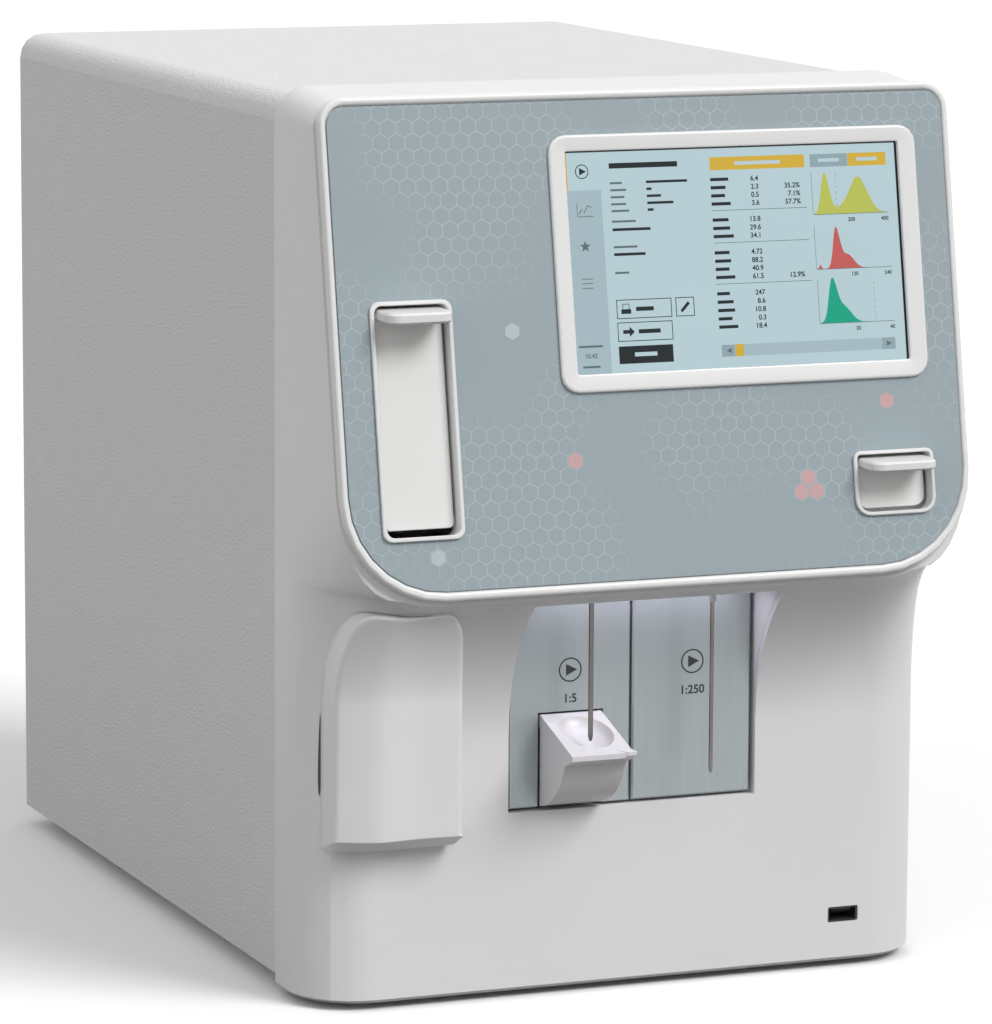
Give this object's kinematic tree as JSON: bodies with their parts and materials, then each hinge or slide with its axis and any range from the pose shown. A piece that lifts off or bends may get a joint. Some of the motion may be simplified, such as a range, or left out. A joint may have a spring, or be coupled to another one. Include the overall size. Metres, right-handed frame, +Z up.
{
  "type": "hematology analyzer",
  "caption": "Benchtop blood cell counter with a tilted touch panel, needle bay, tube door, small drawer, mixer hood and wrap-round sheet cover.",
  "frame": {"origin": "middle of the footprint, on the surface that the feet stand on", "axes": "+Z up, the front with the tilted panel faces -Y, +X is to the right of someone who looks at the front"},
  "size_m": [0.295, 0.4744, 0.396],
  "materials": {
    "shell_plastic": "fine satin moulded housing",
    "white_plastic": "smooth white moulding",
    "panel_grey": "printed satin film",
    "plate_grey": "smooth grey film plate",
    "screen_glass": "clear front over a lit display",
    "black_plastic": "satin black",
    "milky_plastic": "milky translucent moulding",
    "cover_paint": "grey textured powder coat on sheet steel",
    "steel": "drawn stainless steel",
    "rubber": "matt black rubber",
    "board_green": "solder resist",
    "lamp_white": "frosted lamp lens"
  },
  "bodies": {
    "base": {"front_shell": "shell_plastic", "panel_rim": "white_plastic", "front_overlay": "panel_grey", "screen_bezel": "white_plastic", "touch_glass": "screen_glass", "lcd_module": "black_plastic", "door_ring": "white_plastic", "door_hinge_pin": "steel", "drawer_ring": "white_plastic", "drawer_housing": "black_plastic", "bay_liner": "plate_grey", "bay_lamp": "lamp_white", "plate_carrier": "shell_plastic", "cup_pin": "steel", "needle_ferrule": "white_plastic", "lift_frame": "steel", "hood_pin": "steel", "mixer_well": "shell_plastic", "mixer_motor": "black_plastic", "usb_socket": "steel", "top_cover": "cover_paint", "base_plate": "steel", "rear_panel": "cover_paint", "foot_front_left": "rubber", "foot_front_right": "rubber", "foot_rear_left": "rubber", "foot_rear_right": "rubber", "fan_frame": "black_plastic", "fan_guard": "steel", "mains_inlet": "black_plastic", "reagent_ports": "white_plastic", "data_ports": "steel", "power_supply": "steel", "main_board": "board_green", "syringe_pump": "shell_plastic", "valve_block": "milky_plastic", "measuring_chamber": "milky_plastic"},
    "tube_door": {"tube_door": "white_plastic", "tube_holder": "shell_plastic"},
    "sample_drawer": {"drawer_front": "white_plastic", "drawer_tray": "shell_plastic"},
    "mixer_hood": {"mixer_hood": "white_plastic"},
    "mixer_rotor": {"mixer_rotor": "shell_plastic"},
    "drip_cup": {"drip_cup": "milky_plastic"},
    "start_plate_left": {"start_plate_left": "plate_grey"},
    "start_plate_right": {"start_plate_right": "plate_grey"},
    "needle_left": {"needle_left": "steel", "needle_carriage_left": "black_plastic"},
    "needle_right": {"needle_right": "steel", "needle_carriage_right": "black_plastic"},
    "syringe_plunger_left": {"syringe_plunger_left": "steel"},
    "syringe_plunger_right": {"syringe_plunger_right": "steel"},
    "fan_rotor": {"fan_rotor": "black_plastic"},
    "rocker_switch": {"rocker_switch": "black_plastic"}
  },
  "joints": [
    {"name": "door_tilt", "type": "hinge", "parent": "base", "child": "tube_door", "pos_m": [-0.1104, -0.21645, 0.21731], "axis": [1, 0, 0], "range_deg": [0, 28]},
    {"name": "drawer_slide", "type": "slide", "parent": "base", "child": "sample_drawer", "axis": [0, -1, 0], "range_m": [0, 0.045]},
    {"name": "hood_tilt", "type": "hinge", "parent": "base", "child": "mixer_hood", "pos_m": [-0.106, -0.1918, 0.0736], "axis": [1, 0, 0], "range_deg": [0, 75]},
    {"name": "rotor_spin", "type": "hinge", "parent": "base", "child": "mixer_rotor", "pos_m": [-0.106, -0.1605, 0.1255], "axis": [1, 0, 0], "continuous": true},
    {"name": "cup_tip", "type": "hinge", "parent": "base", "child": "drip_cup", "pos_m": [-0.0272, -0.1815, 0.121], "axis": [1, 0, 0], "range_deg": [0, 40]},
    {"name": "plate_left_push", "type": "slide", "parent": "base", "child": "start_plate_left", "axis": [0, 1, 0], "range_m": [0, 0.002], "stiffness_N_per_m": 400},
    {"name": "plate_right_push", "type": "slide", "parent": "base", "child": "start_plate_right", "axis": [0, 1, 0], "range_m": [0, 0.002], "stiffness_N_per_m": 400},
    {"name": "needle_left_lift", "type": "slide", "parent": "base", "child": "needle_left", "axis": [0, 0, 1], "range_m": [0, 0.035]},
    {"name": "needle_right_lift", "type": "slide", "parent": "base", "child": "needle_right", "axis": [0, 0, 1], "range_m": [0, 0.035]},
    {"name": "syringe_left_stroke", "type": "slide", "parent": "base", "child": "syringe_plunger_left", "axis": [0, 0, 1], "range_m": [0, 0.03]},
    {"name": "syringe_right_stroke", "type": "slide", "parent": "base", "child": "syringe_plunger_right", "axis": [0, 0, 1], "range_m": [0, 0.03]},
    {"name": "fan_spin", "type": "hinge", "parent": "base", "child": "fan_rotor", "pos_m": [0.075, 0.216, 0.3], "axis": [0, 1, 0], "continuous": true},
    {"name": "switch_rock", "type": "hinge", "parent": "base", "child": "rocker_switch", "pos_m": [0.105, 0.2263, 0.0735], "axis": [1, 0, 0], "range_deg": [0, 16]}
  ]
}
